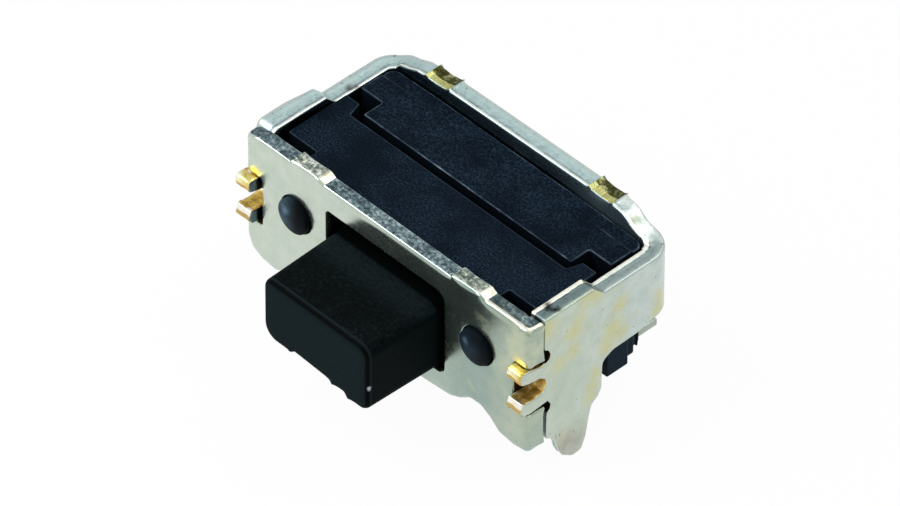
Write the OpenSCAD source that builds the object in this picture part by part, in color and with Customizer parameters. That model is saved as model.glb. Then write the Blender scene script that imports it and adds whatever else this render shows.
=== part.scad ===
// Side push tactile switch for a board edge, real size in millimetres.
// X runs across the front, +Y is the way the button is pressed, Z is up.
// The board surface is z = 0 and the origin is the middle of the metal footprint.

/* [Metal body] */
// Width over the two side walls
body_w = 4.7; // [4.55:0.05:5]
// Depth from the front plate face to the back wall face
body_d = 2.37; // [2.33:0.01:2.6]
// Height of the front plate above the board
plate_top = 1.65; // [1.62:0.01:1.75]
// Sheet thickness of the shell
shell_t = 0.25; // [0.22:0.01:0.26]
// Sheet thickness of the front plate
sheet_t = 0.2; // [0.18:0.01:0.2]
// How far the front plate hangs below the board surface
plate_drop = 0.23; // [0.15:0.01:0.3]
// Length of the shell legs below the board surface
leg_drop = 0.74; // [0.6:0.01:0.9]
// Drop of the shell rim behind the side wall step
rim_step = 0.16; // [0.1:0.01:0.2]

/* [Front plate openings] */
// Width of the button window
window_w = 1.99; // [1.95:0.01:2.05]
// Height of the window top above the board
window_top = 1.3; // [1.25:0.01:1.32]
// Diameter of the two staking post holes
post_hole_d = 0.5; // [0.48:0.01:0.56]
// Distance between the two staking posts
post_spacing = 3.02; // [2.9:0.01:3.1]
// Height of the staking posts above the board
post_z = 0.89; // [0.85:0.01:0.95]

/* [Button] */
// Width of the button at its front face
button_w = 1.75; // [1.6:0.01:1.76]
// Height of the button at its front face
button_h = 0.93; // [0.85:0.01:0.95]
// How far the button stands out of the front plate
button_out = 1.12; // [0.8:0.01:1.2]
// Travel of the button
travel = 0.2; // [0.1:0.01:0.22]
// Side draft of the button over its free length
button_draft = 0.035; // [0.01:0.005:0.04]

/* [Contacts] */
// Thickness of the contact strips and solder feet
contact_t = 0.1; // [0.08:0.01:0.12]
// Width of each solder foot
foot_w = 0.62; // [0.5:0.01:0.7]
// Thickness of the snap dome
dome_t = 0.04; // [0.03:0.01:0.05]

/* [Fits] */
// Gap between the plastic and the side walls
side_gap = 0.02; // [0.02:0.01:0.05]
// Gap around the staking posts in their holes
post_gap = 0.015; // [0.01:0.005:0.03]
// Running gap around the button flange and stem
button_gap = 0.03; // [0.02:0.005:0.04]
// Seam between the flange of the front plate and the shell wall
seam = 0.018; // [0.01:0.002:0.03]

/* [Hidden] */
$fn = 48;
eps = 0.05;

half_w = body_w / 2;
front_y = -body_d / 2;
back_y = body_d / 2;
inner_x = half_w - shell_t;
inner_front_y = front_y + sheet_t;
inner_back_y = back_y - shell_t;
plastic_x = inner_x - side_gap;

corner_r = 0.35;
corner_in_r = corner_r - shell_t;
rim_z = plate_top + 0.01;
low_rim_z = rim_z - rim_step;
rim_left_x = half_w - 0.67;
rim_right_x = half_w - 0.85;
rim_bulge = 0.06;
burr_h = 0.006;
post_out = 0.045;
post_dome = 0.05;
wall_low_z = 0.52;
flange_d = 0.26;
notch_low_z = 0.33;
notch_top_z = 1.04;
notch_w = shell_t + 0.02;
flange_x = half_w - sheet_t;
bump_h = 0.045;

holder_top = plate_top - 0.095;
holder_back_y = front_y + 1.137;
ear_y = holder_back_y + 0.206;
button_flange_t = 0.24;
button_flange_w = window_w + 0.36;
button_flange_top = window_top + 0.08;
cavity_d = button_flange_t + travel + 0.04;
base_top = plate_top - 0.13;
base_front_y = front_y + 1.274;
base_back_y = inner_back_y - 0.02;
base_nose_x = plastic_x - 0.357;
base_corner_r = 0.12;
block_top = wall_low_z - 0.03;
floor_t = 0.1;
ledge_h = 0.025;

pocket_z = 0.74;
pocket_w = 1.9;
pocket_h = 1.14;
dome_w = 1.8;
dome_h = 1.04;
film_t = 0.04;
dome_rise = 0.3;
pad_y = base_front_y + dome_rise;
strip_y = pad_y + contact_t;
foot_x = half_w - 0.34;
foot_back_y = back_y + 0.03;

button_top = 1.08;
button_low = button_top - button_h;
button_front_y = front_y - button_out;
flange_front_y = inner_front_y + 0.012;
stem_w = 0.9;
stem_h = 0.62;
stem_z = 0.72;
stem_tip_y = base_front_y - film_t - 0.004;

function at_y(d) = front_y + d;

// Profile in Y and Z, extruded along X from x0 for length w.
module along_x(x0, w) {
    translate([x0, 0, 0])
        rotate([90, 0, 90])
            linear_extrude(w)
                children();
}

// Profile in X and Z, extruded along +Y from y0 for depth d.
module along_y(y0, d) {
    translate([0, y0 + d, 0])
        rotate([90, 0, 0])
            linear_extrude(d)
                children();
}

module rounded_rect(x0, x1, y0, y1, r) {
    hull_w = x1 - x0 - 2 * r;
    hull_h = y1 - y0 - 2 * r;
    translate([x0 + r, y0])
        square([hull_w, y1 - y0]);
    translate([x0, y0 + r])
        square([x1 - x0, hull_h]);
    for (x = [x0 + r, x1 - r], y = [y0 + r, y1 - r])
        translate([x, y])
            circle(r);
}

module obround(w, h) {
    square([w - h, h], center = true);
    for (s = [-1, 1])
        translate([s * (w - h) / 2, 0])
            circle(h / 2);
}

// ---- Shell ----

// Two spread fingers that grip the corner notch of the front plate.
module fork_profile() {
    polygon([
        [at_y(0.3), notch_top_z - 0.045],
        [at_y(0.02), notch_top_z - 0.012],
        [at_y(-0.121), notch_top_z + 0.015],
        [at_y(-0.143), notch_top_z - 0.143],
        [at_y(0.17), notch_top_z - 0.211],
        [at_y(0.25), notch_top_z - 0.27],
        [at_y(0.3), notch_top_z - 0.36]
    ]);
    polygon([
        [at_y(0.3), notch_low_z + 0.012],
        [at_y(0.02), notch_low_z + 0.022],
        [at_y(-0.11), notch_low_z + 0.045],
        [at_y(-0.139), notch_low_z + 0.085],
        [at_y(-0.128), notch_low_z + 0.164],
        [at_y(0.034), notch_low_z + 0.219],
        [at_y(0.19), notch_low_z + 0.251],
        [at_y(0.3), notch_low_z + 0.29]
    ]);
}

// Tapering leg that goes down through the board.
module leg_profile() {
    polygon([
        [at_y(0.33), -0.2],
        [at_y(0.451), -0.346],
        [at_y(0.492), -leg_drop * 0.68],
        [at_y(0.549), -leg_drop * 0.835],
        [at_y(0.64), -leg_drop * 0.955],
        [at_y(0.759), -leg_drop],
        [at_y(0.842), -leg_drop * 0.98],
        [at_y(0.92), -leg_drop * 0.82],
        [at_y(0.945), -0.478],
        [at_y(0.986), -0.271],
        [at_y(1.025), -0.139],
        [at_y(1.114), -0.08],
        [at_y(1.181), 0.014],
        [at_y(1.19), 0.1],
        [at_y(0.33), 0.1]
    ]);
}

module wall_profile() {
    difference() {
        union() {
            polygon([
                [at_y(flange_d + seam), -0.2],
                [at_y(0.33), -0.25],
                [at_y(0.5), -0.2],
                [at_y(1.19), 0.05],
                [at_y(1.19), wall_low_z - 0.16],
                [at_y(1.35), wall_low_z - 0.015],
                [at_y(1.75), wall_low_z],
                [back_y - corner_r, wall_low_z + 0.06],
                [back_y - corner_r, low_rim_z],
                [at_y(1.225), low_rim_z],
                [at_y(1.16), low_rim_z + 0.04],
                [at_y(1.06), rim_z],
                [at_y(flange_d + seam), rim_z]
            ]);
            leg_profile();
            fork_profile();
        }
        translate([at_y(0.235), (notch_top_z + notch_low_z) / 2 - 0.014])
            circle(0.058);
        translate([at_y(0.262), notch_top_z + 0.053])
            circle(0.09);
        translate([at_y(0.28), notch_low_z - 0.04])
            circle(0.08);
    }
    difference() {
        translate([at_y(1.15), wall_low_z - 0.2])
            square([0.24, 0.24]);
        translate([at_y(1.39), wall_low_z - 0.215])
            circle(0.2);
    }
}

// Back wall face: low rim at the corners, high rim between them.
module back_profile() {
    x1 = half_w - corner_r;
    polygon([
        [-x1, wall_low_z + 0.06],
        [x1, wall_low_z + 0.06],
        [x1, low_rim_z + 0.04],
        [x1 - 0.1, low_rim_z + 0.065],
        [rim_right_x + 0.23, rim_z - 0.02],
        [rim_right_x + 0.15, rim_z],
        [-rim_left_x - 0.04, rim_z],
        [-x1 + 0.1, low_rim_z + 0.1],
        [-x1, low_rim_z + 0.06]
    ]);
}

// Quarter bend at the right rear, run a little way into both walls.
module corner_plan() {
    cx = half_w - corner_r;
    cy = back_y - corner_r;
    translate([cx, cy])
        intersection() {
            difference() {
                circle(corner_r);
                circle(corner_in_r);
            }
            square(corner_r + eps);
        }
    translate([cx - eps, inner_back_y])
        square([eps, shell_t]);
    translate([inner_x, cy - eps])
        square([shell_t, eps]);
}

module back_corner() {
    translate([0, 0, wall_low_z + 0.06])
        linear_extrude(low_rim_z - wall_low_z - 0.06)
            corner_plan();
}

// Sheared stubs of the carrier strip on the back rim.
module back_stub(x0, w) {
    translate([x0, inner_back_y + rim_bulge / 2, rim_z - 0.12])
        cube([w, shell_t + rim_bulge * 0.8, 0.12 + burr_h]);
}

module shell() {
    color("silver")
        union() {
            for (s = [0, 1])
                mirror([s, 0, 0]) {
                    along_x(inner_x, shell_t)
                        wall_profile();
                    back_corner();
                }
            along_y(inner_back_y, shell_t)
                back_profile();
            translate([-rim_left_x + 0.12, inner_back_y + rim_bulge, rim_z - 0.13])
                cube([rim_left_x + rim_right_x - 0.16, shell_t, 0.13]);
            back_stub(-rim_left_x + 0.08, 0.38);
            back_stub(rim_right_x - 0.44, 0.405);
        }
}

// ---- Front plate ----

// Right half of the plate outline from the front, with its scallop and bump.
module half_outline(corner, lean_in, lean_out) {
    low = -plate_drop;
    bump_x0 = half_w - 1.29;
    bump_x1 = half_w - 0.74;
    polygon(concat(
        [
            [-eps, plate_top],
            [-eps, low - 0.035],
            [half_w - 1.75, low - 0.035],
            [half_w - 1.28, low],
            [half_w - 1.15, low + 0.08],
            [half_w - 0.98, low + 0.19],
            [half_w - 0.82, low + 0.21],
            [half_w - 0.69, low + 0.15],
            [half_w - 0.55, low + 0.04],
            [half_w - 0.45, low]
        ],
        corner,
        [[half_w, plate_top]]
    ));
    polygon([
        [bump_x0, plate_top - eps],
        [bump_x1, plate_top - eps],
        [bump_x1, plate_top],
        [bump_x1 - lean_out, plate_top + bump_h],
        [bump_x0 + lean_in, plate_top + bump_h],
        [bump_x0, plate_top]
    ]);
}

module plate_outline() {
    low = -plate_drop;
    half_outline([
        [half_w - 0.25, low - 0.03],
        [half_w, low + 0.01]
    ], 0.01, 0.08);
    mirror([1, 0])
        half_outline([
            [half_w - 0.22, low + 0.02],
            [half_w - 0.11, low + 0.06],
            [half_w - 0.04, low + 0.15],
            [half_w, low + 0.26]
        ], 0.08, 0.01);
}

module window_profile() {
    low = 0.035;
    polygon([
        [-window_w / 2, low],
        [window_w / 2 - 0.05, low],
        [window_w / 2, low + 0.08],
        [window_w / 2, window_top - 0.15],
        [window_w / 2 - 0.02, window_top - 0.07],
        [window_w / 2 - 0.07, window_top - 0.02],
        [window_w / 2 - 0.15, window_top],
        [-window_w / 2 + 0.03, window_top],
        [-window_w / 2, window_top - 0.03]
    ]);
}

// Plan of the plate: face and two short flanges, bent round the corners.
module plate_plan() {
    r = 0.06;
    difference() {
        union() {
            translate([-half_w, front_y + r])
                square([body_w, flange_d - r]);
            translate([-half_w + r, front_y])
                square([body_w - 2 * r, flange_d]);
            for (s = [-1, 1])
                translate([s * (half_w - r), front_y + r])
                    circle(r);
        }
        translate([-flange_x, inner_front_y])
            square([2 * flange_x, 1]);
    }
}

module front_plate() {
    color("gainsboro")
        difference() {
            intersection() {
                translate([0, 0, -1])
                    linear_extrude(3)
                        plate_plan();
                along_y(front_y - eps, flange_d + 2 * eps)
                    plate_outline();
            }
            along_y(front_y - eps, sheet_t + 2 * eps)
                window_profile();
            for (s = [-1, 1]) {
                translate([s * post_spacing / 2, front_y - eps, post_z])
                    rotate([-90, 0, 0])
                        cylinder(h = sheet_t + 2 * eps, d = post_hole_d);
                translate([s * half_w - notch_w, front_y - eps, notch_low_z])
                    cube([2 * notch_w, flange_d + 2 * eps, notch_top_z - notch_low_z]);
                translate([s * half_w - sheet_t - 0.001, inner_front_y, plate_top - 0.03])
                    cube([2 * sheet_t + 0.002, flange_d, 1]);
            }
        }
}

// ---- Plastic holder with the staking posts ----

module half_holder_plan() {
    nose_x = plastic_x - 0.48;
    polygon([
        [-eps, inner_front_y],
        [nose_x, inner_front_y],
        [nose_x, at_y(0.42)],
        [plastic_x, at_y(0.42)],
        [plastic_x, ear_y],
        [plastic_x - 0.23, ear_y],
        [plastic_x - 0.29, holder_back_y],
        [-eps, holder_back_y]
    ]);
}

module holder_plan() {
    half_holder_plan();
    mirror([1, 0])
        half_holder_plan();
}

module post(s) {
    r = post_hole_d / 2 - post_gap;
    translate([s * post_spacing / 2, 0, post_z])
        rotate([-90, 0, 0]) {
            translate([0, 0, front_y - post_out])
                cylinder(h = post_out + sheet_t + eps, r = r);
            intersection() {
                translate([0, 0, front_y - post_out - post_dome])
                    cylinder(h = post_dome + eps, r = r);
                translate([0, 0, front_y - post_out - post_dome + 0.6])
                    sphere(r = 0.6);
            }
        }
}

module holder() {
    color("#20262b")
        union() {
            difference() {
                translate([0, 0, floor_t])
                    linear_extrude(holder_top - floor_t)
                        holder_plan();
                along_y(inner_front_y - eps, cavity_d + eps)
                    translate([-button_flange_w / 2 - button_gap, 0])
                        square([button_flange_w + 2 * button_gap, button_flange_top + button_gap]);
                along_y(inner_front_y, 2)
                    translate([-stem_w / 2 - button_gap, stem_z - stem_h / 2 - button_gap])
                        square([stem_w + 2 * button_gap, stem_h + 2 * button_gap]);
            }
            for (s = [-1, 1])
                post(s);
        }
}

// ---- Button ----

// Button outline; its underside has a low rib along the right edge.
module button_face(grow) {
    w = button_w / 2 + grow;
    z0 = button_low - grow;
    z1 = button_top + grow;
    hull() {
        for (s = [-1, 1])
            translate([s * (w - 0.1), z1 - 0.1])
                circle(0.1, $fn = 32);
        translate([-w + 0.3, z0 + 0.33])
            circle(0.3, $fn = 32);
        translate([w - 0.45, z0])
            square([0.15, 0.3]);
        translate([w - 0.14, z0 + 0.1])
            circle(0.14, $fn = 32);
    }
}

module button() {
    color("#1b1d1f")
        union() {
            hull() {
                along_y(button_front_y, 0.01)
                    button_face(-0.02);
                along_y(button_front_y + 0.02, 0.01)
                    button_face(0);
                along_y(inner_front_y + 0.04, 0.01)
                    button_face(button_draft);
            }
            along_y(flange_front_y, button_flange_t)
                translate([-button_flange_w / 2, floor_t + 0.015])
                    square([button_flange_w, button_flange_top - floor_t - 0.015]);
            along_y(flange_front_y + 0.1, stem_tip_y - flange_front_y - 0.1)
                translate([-stem_w / 2, stem_z - stem_h / 2])
                    square([stem_w, stem_h]);
        }
}

// ---- Dome, film and contacts ----

module dome_outline() {
    translate([0, pocket_z])
        obround(dome_w, dome_h);
}

module dome() {
    rim = pad_y - 0.001;
    r = 1.42;
    tip = base_front_y + 0.004;
    color("goldenrod")
        intersection() {
            difference() {
                translate([0, tip + r, pocket_z])
                    sphere(r = r, $fn = 96);
                translate([0, tip + r, pocket_z])
                    sphere(r = r - dome_t, $fn = 96);
            }
            along_y(tip - eps, rim - tip + eps)
                dome_outline();
        }
}

module film() {
    color("#c98f3a")
        along_y(base_front_y - film_t, film_t)
            rounded_rect(-1.1, 1.1, 0.14, 1.34, 0.08);
}

module foot(s) {
    translate([s > 0 ? foot_x - foot_w : -foot_x, pad_y, 0])
        cube([foot_w, foot_back_y - pad_y, contact_t]);
}

module centre_contact() {
    color("tan")
        union() {
            along_y(pad_y, contact_t) {
                translate([0, pocket_z])
                    circle(0.2);
                translate([-0.13, 0.16])
                    square([0.26, pocket_z - 0.16]);
                translate([-foot_x, 0.16])
                    square([foot_x + 0.13, 0.16]);
                translate([-foot_x, 0])
                    square([foot_w, 0.3]);
            }
            foot(-1);
        }
}

module outer_contact() {
    color("tan")
        union() {
            along_y(pad_y, contact_t) {
                translate([-0.95, 0.5])
                    square([0.28, 0.86]);
                translate([0.67, 0.4])
                    square([0.28, 0.96]);
                translate([-0.95, 1.18])
                    square([1.9, 0.18]);
                translate([0.67, 0.16])
                    square([foot_x - 0.67, 0.3]);
                translate([foot_x - foot_w, 0])
                    square([foot_w, 0.3]);
            }
            foot(1);
        }
}

// ---- Rear moulding that carries the contacts ----

module base_plan() {
    notch_y = at_y(1.571);
    translate([-base_nose_x, base_front_y])
        square([2 * base_nose_x, base_back_y - base_front_y - base_corner_r]);
    translate([-plastic_x, notch_y])
        square([2 * plastic_x, base_back_y - notch_y - base_corner_r]);
    rounded_rect(-plastic_x, plastic_x, notch_y, base_back_y, base_corner_r);
}

// Low side blocks that show under the cut away side walls.
module base_blocks() {
    x0 = base_nose_x - 0.2;
    for (s = [0, 1])
        mirror([s, 0, 0]) {
            translate([x0, ear_y + 0.017, 0])
                cube([half_w - 0.1 - x0, at_y(1.7) - ear_y - 0.017, block_top - 0.06]);
            translate([x0, at_y(1.5), 0])
                cube([half_w - 0.19 - x0, 0.38, block_top]);
            translate([x0, at_y(1.7), 0])
                cube([plastic_x - x0, 0.3, block_top]);
        }
}

module base() {
    color("#232a31")
        difference() {
            union() {
                linear_extrude(base_top)
                    base_plan();
                base_blocks();
                translate([-plastic_x, holder_back_y - eps, 0])
                    cube([2 * plastic_x, base_front_y - holder_back_y + 2 * eps, floor_t]);
                linear_extrude(floor_t)
                    holder_plan();
            }
            along_y(base_front_y - eps, dome_rise + eps)
                translate([0, pocket_z])
                    obround(pocket_w, pocket_h);
            for (s = [0, 1])
                mirror([s, 0, 0])
                    along_y(at_y(1.91), 1)
                        polygon([
                            [base_nose_x - 0.36, base_top],
                            [plastic_x + eps, base_top - ledge_h],
                            [plastic_x + eps, base_top + 1],
                            [base_nose_x - 0.36, base_top + 1]
                        ]);
            centre_contact();
            outer_contact();
        }
}

shell();
front_plate();
base();
holder();
button();
dome();
film();
centre_contact();
outer_contact();
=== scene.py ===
import math
import bpy
import bmesh
import numpy as np
from mathutils import Vector, Matrix, noise
from mathutils.geometry import delaunay_2d_cdt


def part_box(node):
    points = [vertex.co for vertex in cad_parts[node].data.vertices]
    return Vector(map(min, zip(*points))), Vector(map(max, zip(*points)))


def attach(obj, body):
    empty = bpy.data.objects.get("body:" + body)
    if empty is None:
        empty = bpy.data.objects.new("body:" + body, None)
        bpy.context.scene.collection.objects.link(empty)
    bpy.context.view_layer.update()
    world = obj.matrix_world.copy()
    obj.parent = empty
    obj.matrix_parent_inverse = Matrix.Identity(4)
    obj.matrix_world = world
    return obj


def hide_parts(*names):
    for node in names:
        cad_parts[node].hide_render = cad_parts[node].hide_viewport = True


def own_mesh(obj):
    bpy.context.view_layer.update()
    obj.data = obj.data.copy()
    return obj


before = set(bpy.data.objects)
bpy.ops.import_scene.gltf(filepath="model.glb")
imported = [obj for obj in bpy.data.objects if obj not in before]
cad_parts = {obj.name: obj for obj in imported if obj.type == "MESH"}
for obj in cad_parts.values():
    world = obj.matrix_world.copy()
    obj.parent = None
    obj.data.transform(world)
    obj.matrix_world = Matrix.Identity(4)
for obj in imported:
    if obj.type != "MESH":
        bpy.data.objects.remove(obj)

scene = bpy.context.scene
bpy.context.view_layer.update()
mm = 0.001
sharpAngle = 32  # degrees; flatter edges between faces are smoothed
print("frame loaded:", ", ".join(sorted(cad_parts)))


# sizes in millimetres, read from the frame where it has them

def corner(name, end):
    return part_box(name)[end] / mm


halfWidth = corner("shell", 1).x
frontY = corner("front_plate", 0).y  # outer face of the front plate
stemEnd = corner("button", 1).y
sheet = 0.2
shellSheet = 0.25
cornerRadius = 0.35
backY = 1.185  # outer face of the back wall
plateTop = 1.65
rimTop = 1.66
lowRim = 1.5


# outlines

def fillet(corners, turn=14):
    # corners are (u, v, radius); an arc takes a point for each turn degrees
    nearlyStraight, sideShare = math.pi - 0.03, 0.49
    out = []
    count = len(corners)
    for i, (u, v, radius) in enumerate(corners):
        here = Vector((u, v))
        back = Vector(corners[i - 1][:2]) - here
        on = Vector(corners[(i + 1) % count][:2]) - here
        gap = back.angle(on)
        if radius <= 0 or gap > nearlyStraight:
            out.append((u, v))
            continue
        reach = min(radius / math.tan(gap / 2), back.length * sideShare, on.length * sideShare)
        radius = reach * math.tan(gap / 2)
        back.normalize()
        on.normalize()
        centre = here + (back + on).normalized() * radius / math.sin(gap / 2)
        first = here + back * reach - centre
        last = here + on * reach - centre
        a0 = math.atan2(first.y, first.x)
        sweep = math.atan2(last.y, last.x) - a0
        sweep = (sweep + math.pi) % (2 * math.pi) - math.pi
        steps = max(2, math.ceil(abs(math.degrees(sweep)) / turn))
        for k in range(steps + 1):
            a = a0 + sweep * k / steps
            out.append((centre.x + radius * math.cos(a), centre.y + radius * math.sin(a)))
    return out


def spread(loop, step):
    # no stretch of the loop stays longer than step
    out = []
    for i, a in enumerate(loop):
        b = loop[(i + 1) % len(loop)]
        length = math.hypot(b[0] - a[0], b[1] - a[1])
        if length < 1e-5:
            continue
        cuts = max(1, math.ceil(length / step))
        for k in range(cuts):
            out.append((a[0] + (b[0] - a[0]) * k / cuts, a[1] + (b[1] - a[1]) * k / cuts))
    return np.array(out)


def area(loop):
    # positive where the loop runs anticlockwise
    x, y = loop[:, 0], loop[:, 1]
    return 0.5 * float(np.sum(x * np.roll(y, -1) - y * np.roll(x, -1)))


def inward(loop):
    # directions into the material, which lies left of the loop's travel; longer at corners, up to a limit
    cornerLimit = 0.6
    ahead = np.roll(loop, -1, axis=0) - loop
    ahead /= np.linalg.norm(ahead, axis=1)[:, None]
    behind = np.roll(ahead, 1, axis=0)
    left = np.stack([-(ahead[:, 1] + behind[:, 1]), ahead[:, 0] + behind[:, 0]], axis=1)
    size = np.linalg.norm(left, axis=1)[:, None]
    left /= np.maximum(size, 1e-6)
    return left / np.maximum(size / 2, cornerLimit)


def roundShare(loop, size):
    # how much of an edge round of this size fits at each point, so tight corners don't fold over;
    # the share falls off slowly to both sides of such a corner
    ahead = np.roll(loop, -1, axis=0) - loop
    length = np.linalg.norm(ahead, axis=1)
    angle = np.arctan2(ahead[:, 1], ahead[:, 0])
    turned = (angle - np.roll(angle, 1) + math.pi) % (2 * math.pi) - math.pi
    span = (length + np.roll(length, 1)) / 2
    radius = np.where(turned > 0.02, span / np.maximum(turned, 0.02), 10)
    share = np.minimum(1, 0.7 * radius / size)
    gain = 0.5 * length / size
    for k in range(20):
        share = np.minimum(share, np.roll(share, 1) + np.roll(gain, 1))
        share = np.minimum(share, np.roll(share, -1) + gain)
    return share


def insideLoops(points, loops):
    # whether each point lies in the outline and in none of its holes
    hit = np.zeros(len(points), int)
    px, py = points[:, 0], points[:, 1]
    for loop in loops:
        for a, b in zip(loop, np.roll(loop, -1, axis=0)):
            cross = (a[1] > py) != (b[1] > py)
            if cross.any():
                at = a[0] + (py - a[1]) * (b[0] - a[0]) / ((b[1] - a[1]) or 1e-12)
                hit += cross & (px < at)
    return hit % 2 == 1


def nearestEdge(points, loops):
    # distance from each point to the loops, in batches that fit in memory
    batch = 2000
    allPoints = np.concatenate(loops)
    best = np.zeros(len(points))
    for start in range(0, len(points), batch):
        part = points[start:start + batch]
        far = np.linalg.norm(part[:, None, :] - allPoints[None, :, :], axis=2)
        best[start:start + batch] = far.min(axis=1)
    return best


def capFaces(loops, step):
    # triangles between the loops, with a grid of points inside that keeps clear of the edges
    rowStep, clear = step * 0.87, step * 0.55
    low = np.min([loop.min(axis=0) for loop in loops], axis=0)
    high = np.max([loop.max(axis=0) for loop in loops], axis=0)
    us = np.arange(low[0] + step / 2, high[0], step)
    vs = np.arange(low[1] + step / 2, high[1], rowStep)
    grid = np.array([(u + (j % 2) * step / 2, v) for j, v in enumerate(vs) for u in us])
    grid = grid[insideLoops(grid, loops)]
    grid = grid[nearestEdge(grid, loops) > clear]
    coords, edges = [], []
    for loop in loops:
        first = len(coords)
        coords += [Vector(p) for p in loop]
        edges += [(first + i, first + (i + 1) % len(loop)) for i in range(len(loop))]
    rim = len(coords)
    coords += [Vector(p) for p in grid]
    made = delaunay_2d_cdt(coords, edges, [], 0, 1e-7)
    verts, faces, origin = made[0], made[2], made[3]
    index = [o[0] for o in origin]
    centres = np.array([sum((verts[i] for i in f), Vector((0, 0))) / 3 for f in faces])
    keep = insideLoops(centres, loops)
    return grid, rim, [[index[i] for i in f] for f, k in zip(faces, keep) if k]


# meshes

def outward(mesh):
    work = bmesh.new()
    work.from_mesh(mesh)
    bmesh.ops.recalc_face_normals(work, faces=work.faces)
    work.to_mesh(mesh)
    work.free()


def smoothBy(mesh, degrees):
    mesh.polygons.foreach_set("use_smooth", [True] * len(mesh.polygons))
    mesh.set_sharp_from_angle(angle=math.radians(degrees))


def addPiece(name, points, faces, looks, sharpFrom, marks=None, depths=None):
    # points in millimetres; marks give a face's look, depths how far in a point lies
    mesh = bpy.data.meshes.new(name)
    mesh.from_pydata([Vector(p) * mm for p in points], [], faces)
    for look in looks:
        mesh.materials.append(look)
    if marks:
        mesh.polygons.foreach_set("material_index", marks)
        depthMark = mesh.attributes.new("depthIn", "FLOAT", "POINT")
        depthMark.data.foreach_set("value", depths)
    outward(mesh)
    smoothBy(mesh, sharpFrom)
    piece = bpy.data.objects.new(name, mesh)
    scene.collection.objects.link(piece)
    return piece


# sheet metal: an outline with rolled edges, bent into place
#   outerRound, innerRound: depth of the rolled edge on each side; rollReach: how far it reaches in
#   burnish: smooth share of a cut edge, torn beyond it; holeShare: share of the roll at holes
#   tipPull: how far the roll draws in the ends beyond tipFrom

def sheetRows(shape):
    # rows of points through the sheet as (distance in from the outline, depth, how torn); the tear
    # grows behind the smooth share and fades towards the inner side
    grows, fades, least = 0.15, 0.2, 0.3
    outer, inner, reach = shape["outerRound"], shape["innerRound"], shape["rollReach"]
    quarter = [math.pi / 2 * k / shape["arcs"] for k in range(shape["arcs"] + 1)]
    rows = [(reach * (1 - math.sin(a)), outer * (1 - math.cos(a)), 0) for a in quarter]
    end = shape["thick"] - inner
    for k in range(1, shape["rows"]):
        f = k / shape["rows"]
        torn = min(1, max(0, (f - shape["burnish"]) / grows)) * min(1, (1 - f) / fades + least)
        rows.append((0, outer + (end - outer) * f, torn))
    return rows + [(inner * (1 - math.cos(a)), end + inner * math.sin(a), 0) for a in quarter]


def sheetMesh(name, outline, holes, shape, bend, looks, lookOf):
    # the first look is for the two faces of the sheet; lookOf names the one of a cut edge
    loops = []
    for number, points in enumerate([outline] + holes):
        loop = spread(points, shape["edgeStep"])
        loops.append(loop if (area(loop) < 0) == (number > 0) else loop[::-1])
    rows = sheetRows(shape)
    flat, faces, marks, depths, starts = [], [], [], [], []
    for number, loop in enumerate(loops):
        into = inward(loop) * roundShare(loop, shape["rollReach"])[:, None]
        into *= shape["holeShare"] if number else 1
        starts.append((len(flat), len(loop)))
        for off, depth, torn in rows:
            for (u, v), (du, dv) in zip(loop, into):
                grain = 0.6 + noise.noise(Vector((u, v, depth * 2)) * shape["tearScale"])
                far = off + torn * shape["tear"] * grain
                tip = min(1, max(0, (abs(u) - shape["tipFrom"]) / 0.12))
                back = math.copysign(shape["tipPull"] * tip * off / shape["rollReach"], u)
                flat.append((u + du * far - back, v + dv * far, depth))
                depths.append(depth / shape["thick"])
    order = list(looks)
    cutFrom, cutTo = shape["outerRound"] * 0.6, shape["thick"] - shape["innerRound"] * 0.5
    for start, size in starts:
        for r in range(len(rows) - 1):
            cut = cutFrom < (rows[r][1] + rows[r + 1][1]) / 2 < cutTo
            for i in range(size):
                a, b = start + r * size + i, start + r * size + (i + 1) % size
                faces.append((a, b, b + size, a + size))
                marks.append(order.index(lookOf(*flat[a][:2])) if cut else 0)
    for side, row in ((0, 0), (1, len(rows) - 1)):
        around = [np.array([flat[s + row * n + i][:2] for i in range(n)]) for s, n in starts]
        grid, rim, tris = capFaces(around, shape["gridStep"])
        ids = [s + row * n + i for s, n in starts for i in range(n)]
        first = len(flat)
        flat += [(p[0], p[1], rows[row][1]) for p in grid]
        depths += [float(side)] * len(grid)
        faces += [tuple(ids[i] if i < rim else first + i - rim for i in tri) for tri in tris]
        marks += [0] * len(tris)
    return addPiece(name, [bend(*p) for p in flat], faces, looks.values(), sharpAngle, marks, depths)


# materials

white = (1.0, 1.0, 1.0)


def srgb(*tone):
    # linear colour from red, green and blue of 0 to 255
    shares = [c / 255 for c in tone]
    return tuple(c / 12.92 if c <= 0.04045 else ((c + 0.055) / 1.055) ** 2.4 for c in shares)


def newLook(name):
    look = bpy.data.materials.new(name)
    look.use_nodes = True
    tree = look.node_tree
    return look, tree, tree.nodes["Principled BSDF"]


def addNode(tree, kind, values=None, **settings):
    node = tree.nodes.new("ShaderNode" + kind)
    for key, value in settings.items():
        setattr(node, key, value)
    for key, value in (values or {}).items():
        node.inputs[key].default_value = value
    return node


def feed(tree, value, slot):
    # a number, a colour or another node's output goes into a slot
    if isinstance(value, (int, float)):
        slot.default_value = value
    elif isinstance(value, tuple):
        slot.default_value = (*value, 1)
    else:
        tree.links.new(value, slot)


def millimetres(tree):
    # place on the object in millimetres
    place = addNode(tree, "TexCoord")
    scale = addNode(tree, "Mapping", {"Scale": (1000, 1000, 1000)})
    feed(tree, place.outputs["Object"], scale.inputs["Vector"])
    return scale.outputs["Vector"]


def depthIn(tree):
    # 0 on the outer side of a sheet, 1 on its inner side
    return addNode(tree, "Attribute", attribute_name="depthIn").outputs["Fac"]


def axes(tree, vector):
    node = addNode(tree, "SeparateXYZ")
    feed(tree, vector, node.inputs[0])
    return node.outputs


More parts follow.
